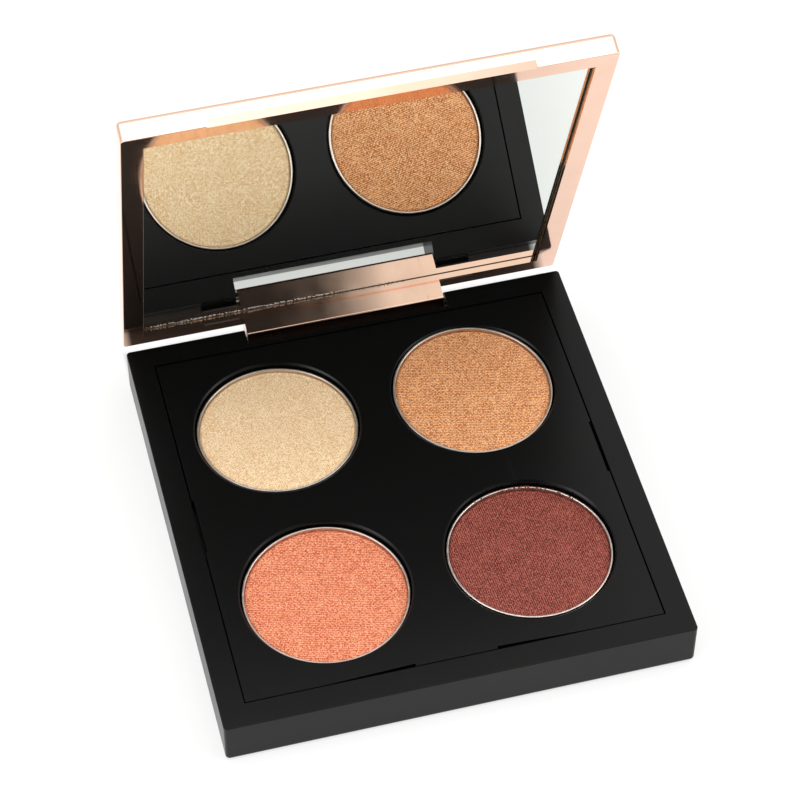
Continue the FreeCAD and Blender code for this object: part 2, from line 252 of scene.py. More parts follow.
def start_group(name, inputs, outputs):
    """A node group with named sockets, its Group Input's outputs and a function that ends it."""
    tree = bpy.data.node_groups.new(name, "ShaderNodeTree")
    for label, kind, value in inputs:
        socket = tree.interface.new_socket(label, in_out="INPUT", socket_type="NodeSocket" + kind)
        if value is not None:
            socket.default_value = value
    for label, kind in outputs:
        tree.interface.new_socket(label, in_out="OUTPUT", socket_type="NodeSocket" + kind)
    given = tree.nodes.new("NodeGroupInput").outputs
    last = tree.nodes.new("NodeGroupOutput")

    def end(**results):
        for label, socket in results.items():
            tree.links.new(socket, last.inputs[label])

    return tree, given, end


def use_group(tree, name, inputs):
    """A group placed in a material with its own values, and the outputs it gives."""
    made = tree.nodes.new("ShaderNodeGroup")
    made.node_tree = bpy.data.node_groups[name]
    for label, value in inputs.items():
        if isinstance(value, bpy.types.NodeSocket):
            tree.links.new(value, made.inputs[label])
        else:
            made.inputs[label].default_value = value
    return made.outputs


def start_material(name, sockets):
    """A new material: its tree, its shader, and the piece's own coordinates in metres."""
    material = bpy.data.materials.new(name)
    material.use_nodes = True
    tree = material.node_tree
    shader = tree.nodes["Principled BSDF"]
    for label, value in sockets.items():
        shader.inputs[label].default_value = value
    where = add_node(tree, "TexCoord").outputs["Object"]
    return material, tree, shader, where


def noise_at(tree, where, per_metre, detail):
    """Soft noise with a given number of features in a metre, as a value about 0.5."""
    inputs = {"Vector": where, "Scale": per_metre, "Detail": detail}
    return add_node(tree, "TexNoise", inputs).outputs["Fac"]


def bump(tree, shader, height, depth):
    """Feeds a height of 0..1, that is depth metres high, to the shader's normal."""
    inputs = {"Height": height, "Distance": depth, "Strength": 1.0}
    tree.links.new(add_node(tree, "Bump", inputs).outputs["Normal"], shader.inputs["Normal"])


# %% [markdown]
# ## Shared effects
# Moulded plastic has a fine satin grain from the tool, and every handled surface has faint
# smudges and hairline scratches that change how sharply it reflects. Plating and glass are never
# perfectly flat, so a long soft ripple bends their reflections a little. Each of these is a group
# that gives a height or a mask from the piece's own coordinates.

# %% Group: moulded grain
tree, given, end = start_group(
    "moulded grain",
    [("Vector", "Vector", None), ("Grain Size", "Float", 0.2 * MM)],
    [("Height", "Float")],
)
per_metre = maths(tree, "DIVIDE", 1.0, given["Grain Size"])
end(Height=noise_at(tree, given["Vector"], per_metre, 2.0))

# %% Group: handling marks
HAIRLINE_TURN = (0.3, 0.2, 0.7)
HAIRLINE_STRETCH = (1.0, 0.04, 0.3)
HAIRLINE_SPAN = (0.63, 0.7)
SMUDGE_SPAN = (0.4, 0.7)

tree, given, end = start_group(
    "handling marks",
    [("Vector", "Vector", None), ("Smudge Size", "Float", 12 * MM), ("Hairline Gap", "Float", 4 * MM)],
    [("Smudge", "Float"), ("Hairline", "Float")],
)
smudge_scale = maths(tree, "DIVIDE", 1.0, given["Smudge Size"])
cloud = add_node(
    tree,
    "TexNoise",
    {"Vector": given["Vector"], "Scale": smudge_scale, "Detail": 4.0, "Roughness": 0.6},
)
smudge = spread(tree, cloud.outputs["Fac"], *SMUDGE_SPAN)
line_scale = maths(tree, "DIVIDE", 1.0, given["Hairline Gap"])
stretched = add_node(
    tree,
    "Mapping",
    {"Vector": given["Vector"], "Rotation": HAIRLINE_TURN, "Scale": HAIRLINE_STRETCH},
)
lines = add_node(
    tree,
    "TexNoise",
    {"Vector": stretched.outputs[0], "Scale": line_scale, "Detail": 6.0, "Roughness": 0.8},
)
hairline = spread(tree, lines.outputs["Fac"], *HAIRLINE_SPAN)
end(Smudge=smudge, Hairline=hairline)

# %% Group: soft ripple
tree, given, end = start_group(
    "soft ripple",
    [("Vector", "Vector", None), ("Wave Length", "Float", 12 * MM)],
    [("Height", "Float")],
)
wave_scale = maths(tree, "DIVIDE", 1.0, given["Wave Length"])
end(Height=noise_at(tree, given["Vector"], wave_scale, 1.0))
print("groups:", [group.name for group in bpy.data.node_groups])


# %% [markdown]
# ## Black moulded plastic
# The tray and the insert plate are black plastic with a satin surface: dark enough to lose their
# own colour, so nearly all that is seen is a soft reflection. The black isn't quite even, the
# grain blurs the reflection, and smudges make it glossier in patches. The two parts come from two
# tools, so they have the same recipe with different values.

# %% Finish: black plastic
CLEAN_TINT = (1.0, 1.0, 1.05)
SMUDGED_TINT = (1.7, 1.65, 1.6)
SMUDGE_POLISH = 0.04
SCRATCH_DULLING = 0.08


def black_plastic(name, tone, roughness, grain_size, grain_depth):
    """Black plastic of one tone (0 to 1), with its grain's size and depth in metres."""
    material, tree, shader, where = start_material(name, {"IOR": 1.5, "Specular IOR Level": 0.2})
    marks = use_group(tree, "handling marks", {"Vector": where, "Smudge Size": 14 * MM})
    grain = use_group(tree, "moulded grain", {"Vector": where, "Grain Size": grain_size})
    clean, smudged = ([tone * part for part in tint] for tint in (CLEAN_TINT, SMUDGED_TINT))
    tree.links.new(blend(tree, marks["Smudge"], clean, smudged), shader.inputs["Base Color"])
    rough = spread(tree, marks["Smudge"], 0.0, 1.0, roughness, roughness - SMUDGE_POLISH)
    scratched = maths(tree, "MULTIPLY", marks["Hairline"], SCRATCH_DULLING)
    tree.links.new(maths(tree, "ADD", rough, scratched), shader.inputs["Roughness"])
    bump(tree, shader, grain["Height"], grain_depth)
    return material


tray_black = black_plastic(
    "tray black", tone=0.0018, roughness=0.31, grain_size=0.22 * MM, grain_depth=0.005 * MM
)
plate_black = black_plastic(
    "plate black", tone=0.0015, roughness=0.33, grain_size=0.30 * MM, grain_depth=0.004 * MM
)
dress("base_tray", tray_black)
dress("insert_plate", plate_black)

# %% [markdown]
# ## Rose-gold plating
# The lid is moulded plastic under a thin metal plating, so it reflects like polished metal but
# shows the long ripple of the plastic beneath. Smudges deepen the colour and raise the roughness in
# patches, and the ripple bends reflected edges slightly.

# %% Finish: rose gold
PLATING = (0.93, 0.63, 0.49)
PLATING_SMUDGED = (0.90, 0.59, 0.45)
POLISH = 0.05
POLISH_SMUDGED = 0.085
PLATING_SCRATCHES = 0.12
RIPPLE_DEPTH = 0.02 * MM

rose_gold, tree, shader, where = start_material("rose gold", {"Metallic": 1.0})
marks = use_group(
    tree, "handling marks", {"Vector": where, "Smudge Size": 10 * MM, "Hairline Gap": 3 * MM}
)
ripple = use_group(tree, "soft ripple", {"Vector": where, "Wave Length": 11 * MM})
smudged = spread(tree, marks["Smudge"], 0.0, 1.0, POLISH, POLISH_SMUDGED)
scratched = maths(tree, "MULTIPLY", marks["Hairline"], PLATING_SCRATCHES)
tree.links.new(maths(tree, "ADD", smudged, scratched), shader.inputs["Roughness"])
warmth = blend(tree, marks["Smudge"], PLATING, PLATING_SMUDGED)
tree.links.new(warmth, shader.inputs["Base Color"])
bump(tree, shader, ripple["Height"], RIPPLE_DEPTH)
dress("lid_shell", rose_gold)

# %% [markdown]
# ## The mirror
# A compact's mirror is thin float glass, silvered on its back, cut with a seamed edge: the sharp
# arrises are ground off so that they don't chip. It is built lying shut, as a box with its edges
# bevelled, and then turned with the lid. The silvered face is a near-perfect metal with a faint
# green of glass, and the ground edge is a pale frosted green.

# %% Finish: silvered glass and its ground edge
SILVER = (0.86, 0.89, 0.85)
SILVER_SMUDGED = (0.84, 0.87, 0.84)
FROST_DARK = (0.10, 0.15, 0.13)
FROST_LIGHT = (0.35, 0.45, 0.40)
SILVER_ROUGHNESS = (0.008, 0.022)
FROST_ROUGHNESS = (0.35, 0.6)
FROST_DEPTH = 0.01 * MM

silvered, tree, shader, where = start_material("silvered glass", {"Metallic": 1.0})
marks = use_group(
    tree, "handling marks", {"Vector": where, "Smudge Size": 20 * MM, "Hairline Gap": 5 * MM}
)
tree.links.new(blend(tree, marks["Smudge"], SILVER, SILVER_SMUDGED), shader.inputs["Base Color"])
rough = spread(tree, marks["Smudge"], 0.0, 1.0, *SILVER_ROUGHNESS)
tree.links.new(rough, shader.inputs["Roughness"])

ground_edge, tree, shader, where = start_material("ground glass edge", {"IOR": 1.5})
grain = use_group(tree, "moulded grain", {"Vector": where, "Grain Size": 0.08 * MM})
tree.links.new(blend(tree, grain["Height"], FROST_DARK, FROST_LIGHT), shader.inputs["Base Color"])
rough = spread(tree, grain["Height"], *NOISE_SPAN, *FROST_ROUGHNESS)
tree.links.new(rough, shader.inputs["Roughness"])
bump(tree, shader, grain["Height"], FROST_DEPTH)

# %% [markdown]
# The mirror is measured and built as if the lid were shut. Its front is then the face that looks
# down at the powder.

# %% Make the mirror
SEAM = 0.18 * MM
CORNER = 0.5 * MM

glass_low, glass_high = turned_box("mirror", lid_turn)
glass_size = glass_high - glass_low
bm = bmesh.new()
place = Matrix.Translation((glass_low + glass_high) / 2) @ Matrix.Diagonal((*glass_size, 1))
bmesh.ops.create_cube(bm, size=1.0, matrix=place)
upright = [
    edge for edge in bm.edges if abs(edge.verts[0].co.z - edge.verts[1].co.z) > glass_size.z / 2
]
bevel_edges(bm, upright, CORNER, segments=5)
front = min(bm.faces, key=lambda face: face.calc_center_median().z)
bevel_edges(bm, list(front.edges), SEAM, segments=2)
bm.normal_update()
for face in bm.faces:
    face.material_index = 0 if abs(face.normal.z) > FLAT else 1
bmesh.ops.transform(bm, matrix=lid_turn, verts=bm.verts)
finish_piece("mirror_glass", bm, [silvered, ground_edge], "lid", "mirror", smooth_below=20)

# %% [markdown]
# ## Tin pans
# Each powder is pressed into a shallow round pan, drawn from tinned sheet. A disc becomes a pan in
# four operator steps: inset the top face by the wall's thickness, inset it again with a negative
# depth to sink the bowl, and bevel the lip and the heel. Real pans have a faint turned texture, so
# the finish takes rings from the distance to the pan's own centre.

# %% Finish: tinned sheet
TIN_DULL = (0.60, 0.53, 0.48)
TIN_BRIGHT = (0.84, 0.77, 0.71)
TIN_ROUGHNESS = (0.30, 0.44)
PATCHES_PER_METRE = 700.0
RINGS_PER_METRE = 9000.0
RING_DEPTH = 0.003 * MM


def tin_finish(name, centre):
    """Tinned sheet, turned about a pan's own centre."""
    material, tree, shader, where = start_material(name, {"Metallic": 1.0})
    local = add_node(tree, "Mapping", {"Vector": where, "Location": tuple(-centre)}).outputs[0]
    axes = add_node(tree, "SeparateXYZ", {0: local})
    flat = add_node(tree, "CombineXYZ", {0: axes.outputs[0], 1: axes.outputs[1]}).outputs[0]
    reach = add_node(tree, "VectorMath", {0: flat}, operation="LENGTH").outputs["Value"]
    rings = add_node(
        tree, "TexNoise", {"W": reach, "Scale": RINGS_PER_METRE, "Detail": 2.0}, noise_dimensions="1D"
    )
    patch = noise_at(tree, local, PATCHES_PER_METRE, 3.0)
    rough = spread(tree, patch, *NOISE_SPAN, *TIN_ROUGHNESS)
    tree.links.new(blend(tree, patch, TIN_DULL, TIN_BRIGHT), shader.inputs["Base Color"])
    tree.links.new(rough, shader.inputs["Roughness"])
    bump(tree, shader, rings.outputs["Fac"], RING_DEPTH)
    return material


# %% Make the pans
PAN_SEGMENTS = 160
TIN = 0.35 * MM
DRAFT = TIN / 20
LIP = 0.13 * MM
HEEL = 0.7 * MM


def make_pan(well):
    lean = leans[well]
    centre, radius, height = round_size(f"pan_{well}", lean)
    sunk = height - TIN
    bm, top = round_disc(radius, -height, 0.0, PAN_SEGMENTS)
    bmesh.ops.inset_region(bm, faces=[top], thickness=TIN, use_even_offset=True)
    bmesh.ops.inset_region(bm, faces=[top], thickness=DRAFT, depth=-sunk, use_even_offset=True)
    lip = circle_edges(bm, radius, 0.0) + circle_edges(bm, radius - TIN, 0.0)
    bevel_edges(bm, lip, LIP, segments=4)
    bevel_edges(bm, circle_edges(bm, radius, -height), HEEL, segments=6)
    bmesh.ops.transform(bm, matrix=lean @ Matrix.Translation(centre), verts=bm.verts)
    finish = tin_finish(f"tin {well}", lean @ centre)
    finish_piece(f"tin_{well}", bm, [finish], "tray", f"pan_{well}")


for well in WELLS:
    make_pan(well)

# %% [markdown]
# ## Pressed powder
# The powder is pressed through a fine cloth, and the cloth leaves its weave in the face: rounded
# dents in rows about a third of a millimetre apart. Mixed into the powder is mica, whose flakes lie
# at all angles, so some catch the light and others look dark. Two groups make these. The weave is
# two sets of ribs that pass over and under each other, nudged out of line by slow noise and broken
# up by fine grit. The mica is a field of small cells, each with a random shade and a random tilt:
# the tilt turns the flake's normal, the shade colours the flake with painted light and dark and sets
# its roughness, and the brightest cells get a painted glint.

# %% Group: pressed cloth
THREAD_WANDER = 0.16 * MM
WANDERS_PER_METRE = 1300.0
GRIT_PER_METRE = 4200.0
CROSSING_SHARE = 0.3

tree, given, end = start_group(
    "pressed cloth",
    [
        ("Vector", "Vector", None),
        ("Pitch", "Float", 0.3 * MM),
        ("Rib Share", "Float", 0.5),
        ("Grit", "Float", 0.9),
    ],
    [("Height", "Float")],
)
wobble = add_node(
    tree, "TexNoise", {"Vector": given["Vector"], "Scale": WANDERS_PER_METRE, "Detail": 3.0}
)
wander = vector_maths(tree, "SUBTRACT", {0: wobble.outputs["Color"], 1: (0.5, 0.5, 0.5)})
nudge = vector_maths(tree, "SCALE", {0: wander, "Scale": THREAD_WANDER})
moved = vector_maths(tree, "ADD", {0: given["Vector"], 1: nudge})
axes = add_node(tree, "SeparateXYZ", {0: moved})
turns = maths(tree, "DIVIDE", math.pi, given["Pitch"])
warp = maths(tree, "SINE", maths(tree, "MULTIPLY", axes.outputs[0], turns))
weft = maths(tree, "SINE", maths(tree, "MULTIPLY", axes.outputs[1], turns))
along = maths(tree, "ABSOLUTE", warp)
across = maths(tree, "ABSOLUTE", weft)
crossing = spread(tree, maths(tree, "MULTIPLY", warp, weft), -1.0, 1.0)
ribbed = between(tree, given["Rib Share"], across, along)
woven = between(tree, CROSSING_SHARE, ribbed, crossing)
grit = noise_at(tree, given["Vector"], GRIT_PER_METRE, 2.0)
centred = spread(tree, grit, *NOISE_SPAN, -0.5, 0.5)
broken = maths(tree, "MULTIPLY", centred, given["Grit"])
end(Height=maths(tree, "ADD", woven, broken, clamp=True))

# %% Group: mica
PAINTED_GLINTS_FROM = 0.70

tree, given, end = start_group(
    "mica",
    [("Vector", "Vector", None), ("Flake Size", "Float", 0.2 * MM), ("Tilt", "Float", 0.5)],
    [("Shade", "Float"), ("Glint", "Float"), ("Normal", "Vector")],
)
cell_scale = maths(tree, "DIVIDE", 1.0, given["Flake Size"])
cells = add_node(tree, "TexVoronoi", {"Vector": given["Vector"], "Scale": cell_scale}, feature="F1")
parts = add_node(tree, "SeparateColor", {0: cells.outputs["Color"]})
# The brightest cells are marked for a painted glint, a painted highlight in the colour.
painted_glint = spread(tree, parts.outputs[0], PAINTED_GLINTS_FROM, 1.0)
aside = vector_maths(tree, "SUBTRACT", {0: cells.outputs["Color"], 1: (0.5, 0.5, 0.5)})
tilt = vector_maths(tree, "SCALE", {0: aside, "Scale": given["Tilt"]})
upright = add_node(tree, "NewGeometry").outputs["Normal"]
tilted = vector_maths(tree, "ADD", {0: upright, 1: tilt})
end(Shade=parts.outputs[1], Glint=painted_glint, Normal=vector_maths(tree, "NORMALIZE", {0: tilted}))

# %% [markdown]
# A shade's finish puts the two together. The weave's dents are painted darker and its crests
# lighter, a painted shade and painted highlight that stand in for light falling on the relief. The
# flakes' painted light and shade vary the colour further, and a slow cloud stands for uneven
# pressing. All four shades are the same recipe with their own values: three colours (a dark end, a
# light end and a painted glint), how strong the flakes are, how the cloth lay (its turn in degrees,
# its pitch in millimetres, and how much of its ribs runs one way), how gritty the face is and how
# metallic the mica makes it.

# %% Finish: shimmer powder
SHADES = {
    "rear_left": {
        "slot": "powder_champagne",
        "fleck": 1.0,
        "dark": (0.7, 0.42, 0.2),
        "light": (1.0, 0.79, 0.52),
        "painted_glint": (1.0, 0.90, 0.68),
        "turn": 38.0,
        "ribs": 0.5,
        "grit": 0.9,
        "pitch": 0.30,
        "metal": 0.1,
    },
    "rear_right": {
        "slot": "powder_copper",
        "fleck": 0.9,
        "dark": (0.4, 0.105, 0.022),
        "light": (1.0, 0.52, 0.24),
        "painted_glint": (1.0, 0.68, 0.41),
        "turn": 14.0,
        "ribs": 0.08,
        "grit": 0.6,
        "pitch": 0.34,
        "metal": 0.15,
    },
    "front_left": {
        "slot": "powder_coral",
        "fleck": 0.9,
        "dark": (0.5, 0.08, 0.028),
        "light": (0.95, 0.38, 0.21),
        "painted_glint": (1.0, 0.57, 0.37),
        "turn": 13.0,
        "ribs": 0.08,
        "grit": 0.75,
        "pitch": 0.34,
        "metal": 0.15,
    },
    "front_right": {
        "slot": "powder_burgundy",
        "fleck": 0.75,
        "dark": (0.07, 0.006, 0.004),
        "light": (0.37, 0.086, 0.06),
        "painted_glint": (0.60, 0.20, 0.15),
        "turn": -4.0,
        "ribs": 0.97,
        "grit": 0.3,
        "pitch": 0.34,
        "metal": 0.15,
    },
}
FLAKE_SIZE = 0.16 * MM
FLAKE_TILT = 0.45
FLAKE_SHARE = 0.6
FLAKE_ROUGHNESS = (0.40, 0.62)
PAINTED_GLINT_SHARE = 0.75
WEAVE_SPAN = (0.1, 0.95)
DENT_SHADE_TO_CREST_LIGHT = (-0.70, 1.05)
CLOUDS_PER_METRE = 260.0
CLOUD_SHARE = (-0.08, 0.18)
RIB_DEPTH = 0.05 * MM


def powder_finish(well, centre):
    """One shade's powder, with its cloth and mica laid about the pan's centre."""
    shade = SHADES[well]
    turn = math.radians(shade["turn"])
    material, tree, shader, where = start_material(
        shade["slot"].replace("_", " "),
        {"IOR": 1.45, "Specular IOR Level": 0.3, "Metallic": shade["metal"]},
    )
    turned = Matrix.Rotation(turn, 3, "Z") @ centre
    local = add_node(
        tree, "Mapping", {"Vector": where, "Location": tuple(-turned), "Rotation": (0, 0, turn)}
    ).outputs[0]
    weave = {"Pitch": shade["pitch"] * MM, "Rib Share": shade["ribs"], "Grit": shade["grit"]}
    cloth = use_group(tree, "pressed cloth", {"Vector": local, **weave})
    mica = use_group(tree, "mica", {"Vector": local, "Flake Size": FLAKE_SIZE, "Tilt": FLAKE_TILT})
    cloud = noise_at(tree, local, CLOUDS_PER_METRE, 3.0)
    # The weave's height paints the colour: painted shade in the dents, painted highlight on the crests.
    weave_shade_paint = spread(tree, cloth["Height"], *WEAVE_SPAN, *DENT_SHADE_TO_CREST_LIGHT)
    fleck = FLAKE_SHARE * shade["fleck"]
    # The mica's shade paints light and dark onto each flake.
    flecked = maths(tree, "ADD", weave_shade_paint, spread(tree, mica["Shade"], 0.0, 1.0, -fleck, fleck))
    clouded = spread(tree, cloud, *NOISE_SPAN, *CLOUD_SHARE)
    shaded = maths(tree, "ADD", flecked, clouded, clamp=True)
    colour = blend(tree, shaded, shade["dark"], shade["light"])
    # The painted glint brightens the brightest flakes towards a glint colour.
    painted_sparkle = maths(tree, "MULTIPLY", mica["Glint"], PAINTED_GLINT_SHARE * shade["fleck"])
    tree.links.new(blend(tree, painted_sparkle, colour, shade["painted_glint"]), shader.inputs["Base Color"])
    rough = spread(tree, mica["Shade"], 0.0, 1.0, *FLAKE_ROUGHNESS)
    tree.links.new(rough, shader.inputs["Roughness"])
    relief = add_node(
        tree,
        "Bump",
        {"Height": cloth["Height"], "Distance": RIB_DEPTH, "Strength": 1.0, "Normal": mica["Normal"]},
    )
    tree.links.new(relief.outputs["Normal"], shader.inputs["Normal"])
    return material


# %% [markdown]
# The cake's shape is real geometry: a low crown, a rounded shoulder that stands away from the
# tin, the narrow ring where the press tool ended, and an edge that crumbled a little here and
# there. The disc's top face is inset ring by ring, so that there are points to move, and each
# point's height is worked out from its distance to the centre and some smooth noise.

# %% Make the powder cakes
CAKE_SEGMENTS = 180
EDGE_RINGS = [0.08, 0.10, 0.12, 0.14, 0.14, 0.14, 0.16, 0.20, 0.30]
FACE_RINGS = 22
CROWN = 0.10 * MM
SHOULDER_DROP = 0.26 * MM
SHOULDER_WIDTH = 0.42 * MM
PRESS_RING_IN = 0.75 * MM
PRESS_RING_DROP = 0.10 * MM
PRESS_RING_WIDTH = 0.14 * MM
UNEVEN_RISE = 0.03 * MM
UNEVEN_PER_MM = 0.35
CRUMBLE_DROP = 0.22 * MM
CRUMBLE_WIDTH = 0.5 * MM
CRUMBLE_PER_MM = 1.7
CRUMBLE_FROM = 0.15
NOISE_APART = 0.01


def cake_height(point, radius, seed):
    """A point's height against the top of the crown, so most points come out below nought."""
    reach = point.xy.length
    inward = radius - reach
    crown = CROWN * (1 - (reach / radius) ** 2)
    shoulder = SHOULDER_DROP * max(0.0, 1 - inward / SHOULDER_WIDTH) ** 2
    ring = PRESS_RING_DROP * math.exp(-(((inward - PRESS_RING_IN) / PRESS_RING_WIDTH) ** 2))
    spot = Vector((point.x, point.y, seed * NOISE_APART)) / MM
    uneven = UNEVEN_RISE * noise.noise(spot * UNEVEN_PER_MM)
    loose = max(0.0, noise.noise(spot * CRUMBLE_PER_MM) - CRUMBLE_FROM)
    crumble = CRUMBLE_DROP * loose * math.exp(-inward / CRUMBLE_WIDTH)
    return crown - shoulder - ring + uneven - crumble - CROWN


powders = {}


def make_cake(well, seed):
    lean = leans[well]
    centre, radius, height = round_size(f"powder_{well}", lean)
    bm, top = round_disc(radius, -height, 0.0, CAKE_SEGMENTS)
    inner = radius - sum(EDGE_RINGS) * MM
    steps = [width * MM for width in EDGE_RINGS] + [inner / (FACE_RINGS + 1)] * FACE_RINGS
    for step in steps:
        bmesh.ops.inset_region(bm, faces=[top], thickness=step, use_even_offset=True)
    bmesh.ops.poke(bm, faces=[top])
    for vert in bm.verts:
        if vert.co.z > -NEAR:
            vert.co.z += cake_height(vert.co, radius, seed)
    bmesh.ops.transform(bm, matrix=lean @ Matrix.Translation(centre), verts=bm.verts)
    powders[well] = powder_finish(well, lean @ centre)
    finish_piece(f"cake_{well}", bm, [powders[well]], "tray", f"powder_{well}", smooth_below=60)


for seed, well in enumerate(WELLS):
    make_cake(well, seed)

# %% [markdown]
# The dark shade is the softest, and crumbs of it lie on its pan's rear rim, left behind by the
# press. They are tiny lumps of twenty faces each, scattered by a seeded generator about a place on
# the rim that is given in degrees, with their sizes and their reach from the rim in millimetres.

# %% Make the crumbs
CRUMBS_ABOUT = 76
CRUMBS_FAN = 17
CRUMB_REACH = (-0.55, 0.12)
CRUMB_SIZES = (0.09, 0.24)
CRUMB_WIDTHS = (0.6, 1.0)
CRUMB_HEIGHT = 0.6


def make_crumbs(well, count, seed):
    chance = random.Random(seed)
    lean = leans[well]
    centre, radius, _ = round_size(f"pan_{well}", lean)
    rim = radius - TIN / 2
    bm = bmesh.new()
    for _ in range(count):
        around = math.radians(chance.gauss(CRUMBS_ABOUT, CRUMBS_FAN))
        reach = rim + chance.uniform(*CRUMB_REACH) * MM
        grain = chance.uniform(*CRUMB_SIZES) * MM
        spot = centre + Vector((math.cos(around) * reach, math.sin(around) * reach, 0.0))
        width = grain * chance.uniform(*CRUMB_WIDTHS)
        shape = Matrix.Diagonal((grain, width, grain * CRUMB_HEIGHT, 1))
        place = lean @ Matrix.Translation(spot) @ Matrix.Rotation(around, 4, "Z") @ shape
        bmesh.ops.create_icosphere(bm, subdivisions=1, radius=1.0, matrix=place)
    finish_piece(f"crumbs_{well}", bm, [powders[well]], "tray", smooth_below=180)


make_crumbs("front_right", count=60, seed=3)

# %% [markdown]
# ## Small hidden metal and glue
# The hinge pins, the closure magnets, the mirror's tape and the glue pads hardly show, but each
# still has its own finish: drawn steel, nickel plate and matt adhesive foam. The same two recipes
# serve them all, with their own values.

# %% Finish: pins, magnets, tape and pads
STREAK_DARKENING = 0.8
STREAK_DULLING = 0.12
STREAK_DEPTH = 0.002 * MM
STREAKS_PER_METRE = 4000.0
PORE_DARKENING = 0.6
PORE_DEPTH = 0.03 * MM
FOAM_ROUGHNESS = (0.6, 0.85)


def drawn_metal(name, tone, roughness, stretch):
    """Bare metal with fine streaks, stretched the way it was drawn."""
    material, tree, shader, where = start_material(name, {"Metallic": 1.0})
    pulled = add_node(tree, "Mapping", {"Vector": where, "Scale": stretch}).outputs[0]
    streak = noise_at(tree, pulled, STREAKS_PER_METRE, 3.0)
    darker = [channel * STREAK_DARKENING for channel in tone]
    rough = spread(tree, streak, *NOISE_SPAN, roughness, roughness + STREAK_DULLING)
    tree.links.new(blend(tree, streak, darker, tone), shader.inputs["Base Color"])
    tree.links.new(rough, shader.inputs["Roughness"])
    bump(tree, shader, streak, STREAK_DEPTH)
    return material


def foam_glue(name, tone):
    """Matt glue or foam, darker in its pores."""
    material, tree, shader, where = start_material(name, {"IOR": 1.45})
    grain = use_group(tree, "moulded grain", {"Vector": where, "Grain Size": 0.3 * MM})
    darker = [channel * PORE_DARKENING for channel in tone]
    rough = spread(tree, grain["Height"], *NOISE_SPAN, *FOAM_ROUGHNESS)
    tree.links.new(blend(tree, grain["Height"], darker, tone), shader.inputs["Base Color"])
    tree.links.new(rough, shader.inputs["Roughness"])
    bump(tree, shader, grain["Height"], PORE_DEPTH)
    return material


pin_steel = drawn_metal("pin steel", (0.62, 0.61, 0.60), roughness=0.24, stretch=(0.05, 1, 1))
nickel = drawn_metal("magnet nickel", (0.66, 0.64, 0.60), roughness=0.2, stretch=(1, 1, 1))
tape_foam = foam_glue("mirror tape", (0.05, 0.05, 0.05))
pad_glue = foam_glue("pan glue", (0.70, 0.66, 0.55))
for side in ("left", "right"):
    dress(f"hinge_pin_{side}", pin_steel)
    dress(f"base_magnet_{side}", nickel)
    dress(f"lid_magnet_{side}", nickel)
for well in WELLS:
    dress(f"glue_pad_{well}", pad_glue)
dress("mirror_tape", tape_foam)

# %% [markdown]
# ## Glue along the mirror
# A thin line of clear glue has squeezed out where the glass meets the lid's rear bar. It is a row
# of small flattened beads of many sizes, run together, so that it glitters as a broken line.
# Random sizes come from a seeded generator, so the row is the same each time.

# %% Finish: clear glue
GLUE_DARK = (0.80, 0.78, 0.76)
GLUE_LIGHT = (0.97, 0.96, 0.94)
GLUE_ROUGHNESS = (0.08, 0.3)
GLUE_DEPTH = 0.04 * MM

clear_glue, tree, shader, where = start_material(
    "clear glue", {"IOR": 1.48, "Transmission Weight": 0.15}
)
grain = use_group(tree, "moulded grain", {"Vector": where, "Grain Size": 0.4 * MM})
tree.links.new(blend(tree, grain["Height"], GLUE_DARK, GLUE_LIGHT), shader.inputs["Base Color"])
rough = spread(tree, grain["Height"], *NOISE_SPAN, *GLUE_ROUGHNESS)
tree.links.new(rough, shader.inputs["Roughness"])
bump(tree, shader, grain["Height"], GLUE_DEPTH)

# %% Lay the beads of glue
GLUE_SEED = 7
GLUE_BEADS = 190
GLUE_STARTS = 0.8 * MM
GLUE_LENGTH = 45 * MM
GLUE_IN = 0.25 * MM
GLUE_THINS_AT = 0.75
GLUE_THINNED = 0.6
BEAD_SIZES = (0.05, 0.15)
BEAD_LENGTHS = (1.0, 2.6)
BEAD_WIDTHS = (0.8, 1.6)
BEAD_HEIGHT = 0.6
BEAD_SUNK = 0.2
BEAD_ASIDE = (-0.2, 0.2)
BEAD_SPREAD = (0.0, 0.45)

chance = random.Random(GLUE_SEED)
bm = bmesh.new()
for bead in range(GLUE_BEADS):
    share = bead / GLUE_BEADS
    size = chance.uniform(*BEAD_SIZES) * MM * (1.0 if share < GLUE_THINS_AT else GLUE_THINNED)
    x = glass_low.x + GLUE_STARTS + share * GLUE_LENGTH + chance.uniform(*BEAD_ASIDE) * MM
    y = glass_high.y - GLUE_IN - chance.uniform(*BEAD_SPREAD) * MM
    z = glass_low.z - size * BEAD_SUNK
    length = size * chance.uniform(*BEAD_LENGTHS)
    width = size * chance.uniform(*BEAD_WIDTHS)
    squash = Matrix.Diagonal((length, width, size * BEAD_HEIGHT, 1))
    spin = Matrix.Rotation(chance.uniform(0, math.pi), 4, "Z")
    place = Matrix.Translation((x, y, z)) @ spin @ squash
    bmesh.ops.create_icosphere(bm, subdivisions=1, radius=1.0, matrix=place)
bmesh.ops.transform(bm, matrix=lid_turn, verts=bm.verts)
finish_piece("mirror_glue", bm, [clear_glue], "lid", smooth_below=180)

# %% [markdown]
# ## Floor, light and camera
# The palette stands on a white floor that glows a little, like a light table, so that it stays
# white right up to the tray. Only the strip behind the tray is dark, a painted shadow where the hinge
# and the lid would shade it: its colour is painted near black and it doesn't glow. The mirror's lower
# edge and the lid's lower rim reflect it.

# %% Floor
FLOOR_REACH = 4.0
FLOOR_DULL = (0.29, 0.29, 0.288)
FLOOR_PALE = (0.31, 0.31, 0.308)
FLOOR_ROUGHNESS = (0.75, 0.85)
SPECKS_PER_METRE = 40.0
GLOW = 0.68
PAINTED_SHADOW_TONE = (0.04, 0.036, 0.034)
SHADOW_HALF = tray_half
SHADOW_NEAR = tray_high.y - 3.0 * MM
SHADOW_FAR = tray_high.y + 1.2 * MM
END_FADE = 2.0 * MM
REAR_FADE = 5.0 * MM

